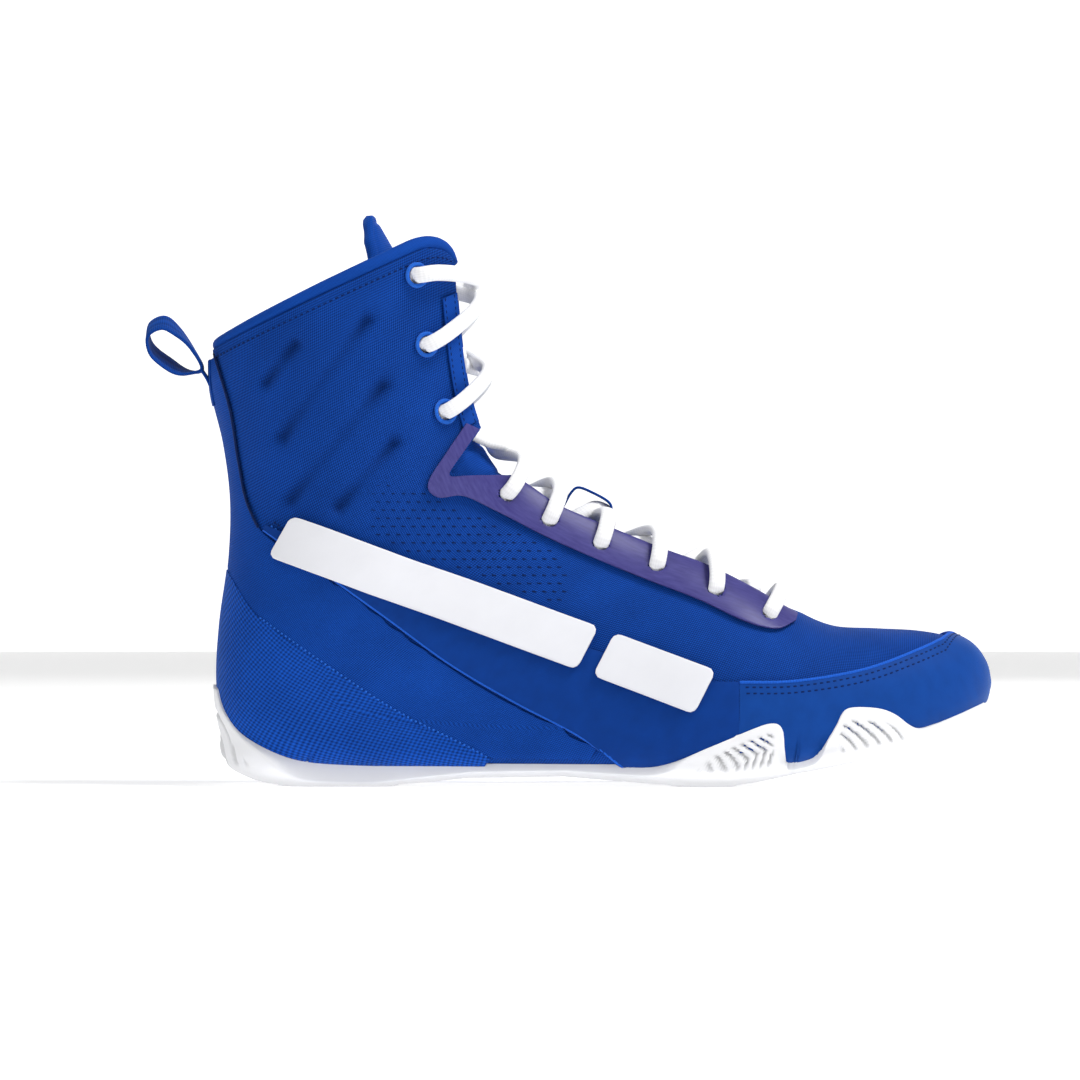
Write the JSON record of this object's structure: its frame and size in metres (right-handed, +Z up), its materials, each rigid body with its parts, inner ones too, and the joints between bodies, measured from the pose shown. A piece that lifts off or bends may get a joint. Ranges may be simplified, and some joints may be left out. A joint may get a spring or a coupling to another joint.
{
  "type": "boxing boot",
  "caption": "High lace-up boxing boot in blue mesh with white laces, a thin white sole, a padded tongue and a pull loop at the heel.",
  "frame": {"origin": "on the floor, under the middle of the boot's box", "axes": "+X to the toe, -Y to the lateral side of this right boot, +Z up the shaft"},
  "size_m": [0.3151, 0.0984, 0.2127],
  "materials": {
    "mesh_blue": "engineered mesh",
    "panel_blue": "smooth microfibre",
    "knit_blue": "fine mesh with a dotted knit zone",
    "film_indigo": "streaked translucent film",
    "binding_blue": "woven binding",
    "lining_blue": "soft lining",
    "foam_white": "soft foam",
    "rubber_white": "matt, fine chevron grooves",
    "band_white": "smooth heat-pressed",
    "lace_white": "braided",
    "board_fibre": "pressed fibre",
    "counter_plastic": "plain",
    "aglet_clear": "clear sheath"
  },
  "bodies": {
    "boot": {"achilles_pad": "foam_white", "aglet_lateral": "aglet_clear", "aglet_medial": "aglet_clear", "collar_binding": "binding_blue", "eyelet_1_lateral": "binding_blue", "eyelet_1_medial": "binding_blue", "eyelet_2_lateral": "binding_blue", "eyelet_2_medial": "binding_blue", "eyelet_3_lateral": "binding_blue", "eyelet_3_medial": "binding_blue", "eyestay_film_lateral": "film_indigo", "eyestay_film_medial": "film_indigo", "forefoot_cushion": "foam_white", "heel_counter": "counter_plastic", "heel_cushion": "foam_white", "heel_panel": "knit_blue", "insole_board": "board_fibre", "lace": "lace_white", "lining": "lining_blue", "mesh_upper": "mesh_blue", "outsole": "rubber_white", "pull_loop_tab": "binding_blue", "shaft_facing_lateral": "binding_blue", "shaft_facing_medial": "binding_blue", "shaft_pad_lateral": "foam_white", "shaft_pad_medial": "foam_white", "side_band_lateral": "band_white", "side_band_medial": "band_white", "side_band_tip_lateral": "band_white", "side_band_tip_medial": "band_white", "side_panel_lateral": "panel_blue", "side_panel_medial": "panel_blue", "sockliner": "lining_blue", "toe_guard": "panel_blue", "toe_puff": "counter_plastic", "tongue_cover_low": "mesh_blue", "tongue_foam_low": "foam_white", "tongue_lace_keeper": "binding_blue", "tongue_lining_low": "lining_blue"},
    "tongue_top": {"tongue_cover_top": "mesh_blue", "tongue_foam_top": "foam_white", "tongue_lining_top": "lining_blue"},
    "pull_loop": {"pull_loop": "binding_blue"}
  },
  "joints": [
    {"name": "tongue_bend", "type": "hinge", "parent": "boot", "child": "tongue_top", "pos_m": [-0.03886, -0.00123, 0.12739], "axis": [0, -1, 0], "range_deg": [0, 15], "stiffness_Nm_per_rad": 0.3},
    {"name": "pull_loop_swing", "type": "hinge", "parent": "boot", "child": "pull_loop", "pos_m": [-0.1361, -0.00123, 0.154], "axis": [0, 1, 0], "range_deg": [-55, 20], "stiffness_Nm_per_rad": 0.02}
  ]
}
